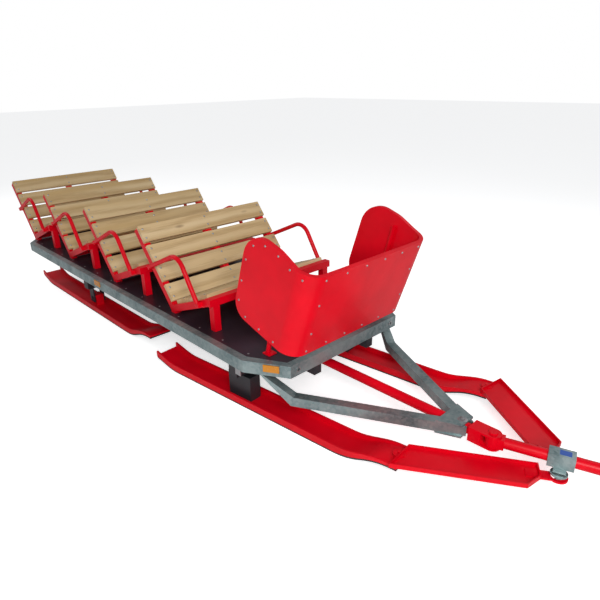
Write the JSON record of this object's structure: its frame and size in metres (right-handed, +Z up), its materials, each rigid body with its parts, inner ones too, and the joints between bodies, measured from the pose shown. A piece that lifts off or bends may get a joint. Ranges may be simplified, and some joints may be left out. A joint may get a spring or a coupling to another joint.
{
  "type": "towed passenger sled",
  "caption": "Long towed snow sled with rows of slatted wooden benches on a flat deck, a curved red front board, steered front skis and a tow bar.",
  "frame": {"origin": "bottom centre of the whole sled, on the surface its runners stand on", "axes": "+Z up; -Y towards the front and the tow bar; +X towards the left side of the sled"},
  "size_m": [1.3696, 6.334, 1.1759],
  "materials": {
    "red_paint": "gloss red powder coat",
    "galvanised": "hot-dip galvanised steel",
    "pine": "sealed pine boards",
    "plywood": "dark film-faced plywood",
    "red_plastic": "moulded red plastic",
    "black_runner": "black runner plastic",
    "black_paint": "black painted steel",
    "amber": "amber reflector",
    "bare_steel": "zinc-plated steel"
  },
  "bodies": {
    "chassis": {"bench_1_back_slats": "pine", "bench_1_frame": "red_paint", "bench_1_seat_slats": "pine", "bench_2_back_slats": "pine", "bench_2_frame": "red_paint", "bench_2_seat_slats": "pine", "bench_3_back_slats": "pine", "bench_3_frame": "red_paint", "bench_3_seat_slats": "pine", "bench_4_back_slats": "pine", "bench_4_frame": "red_paint", "bench_4_seat_slats": "pine", "chassis_rails": "black_paint", "deck_floor": "plywood", "deck_frame": "galvanised", "drawbar_arm_left": "galvanised", "drawbar_arm_right": "galvanised", "drawbar_plates": "galvanised", "front_axle_beam": "black_paint", "front_board_panel": "red_paint", "front_board_stays": "red_paint", "middle_tube": "red_paint", "rear_axle_beam": "black_paint", "rear_hanger_left": "black_paint", "rear_hanger_right": "black_paint", "side_reflectors": "amber", "tow_yoke": "red_paint"},
    "tow_bar": {"tow_tube": "red_paint", "tow_sleeve": "galvanised", "tow_eye": "bare_steel"},
    "front_ski_right": {"front_runner_right": "black_runner", "front_ski_post_right": "black_paint", "front_ski_right": "red_plastic"},
    "nose_plate_right": {"nose_plate_right": "red_paint"},
    "rear_ski_right": {"rear_runner_right": "black_runner", "rear_ski_right": "red_plastic"},
    "front_ski_left": {"front_runner_left": "black_runner", "front_ski_left": "red_plastic", "front_ski_post_left": "black_paint"},
    "nose_plate_left": {"nose_plate_left": "red_paint"},
    "rear_ski_left": {"rear_runner_left": "black_runner", "rear_ski_left": "red_plastic"}
  },
  "joints": [
    {"name": "tow_bar_steer", "type": "hinge", "parent": "chassis", "child": "tow_bar", "pos_m": [-0.02876, -2.1329, 0.205], "axis": [0, 0, 1], "range_deg": [-50, 14]},
    {"name": "front_ski_right_steer", "type": "hinge", "parent": "chassis", "child": "front_ski_right", "pos_m": [-0.49876, -0.6329, 0.2], "axis": [0, 0, 1], "range_deg": [-17, 5.12]},
    {"name": "nose_plate_right_hinge", "type": "hinge", "parent": "front_ski_right", "child": "nose_plate_right", "pos_m": [-0.37768, -1.79662, 0.118], "axis": [0, 0, 1], "range_deg": [-6.6, 22.3]},
    {"name": "rear_ski_right_rock", "type": "hinge", "parent": "chassis", "child": "rear_ski_right", "pos_m": [-0.49876, 1.5871, 0.098], "axis": [1, 0, 0], "range_deg": [-7, 7]},
    {"name": "front_ski_left_steer", "type": "hinge", "parent": "chassis", "child": "front_ski_left", "pos_m": [0.44124, -0.6329, 0.2], "axis": [0, 0, 1], "range_deg": [-17, 5.12]},
    {"name": "nose_plate_left_hinge", "type": "hinge", "parent": "front_ski_left", "child": "nose_plate_left", "pos_m": [0.56232, -1.79662, 0.118], "axis": [0, 0, 1], "range_deg": [-6.6, 22.3]},
    {"name": "rear_ski_left_rock", "type": "hinge", "parent": "chassis", "child": "rear_ski_left", "pos_m": [0.44124, 1.5871, 0.098], "axis": [1, 0, 0], "range_deg": [-7, 7]}
  ],
  "couplings": [
    {"joint": "front_ski_right_steer", "follows": "tow_bar_steer", "ratio": 0.33},
    {"joint": "nose_plate_right_hinge", "follows": "tow_bar_steer", "ratio": -0.436},
    {"joint": "front_ski_left_steer", "follows": "tow_bar_steer", "ratio": 0.33},
    {"joint": "nose_plate_left_hinge", "follows": "tow_bar_steer", "ratio": -0.436}
  ]
}
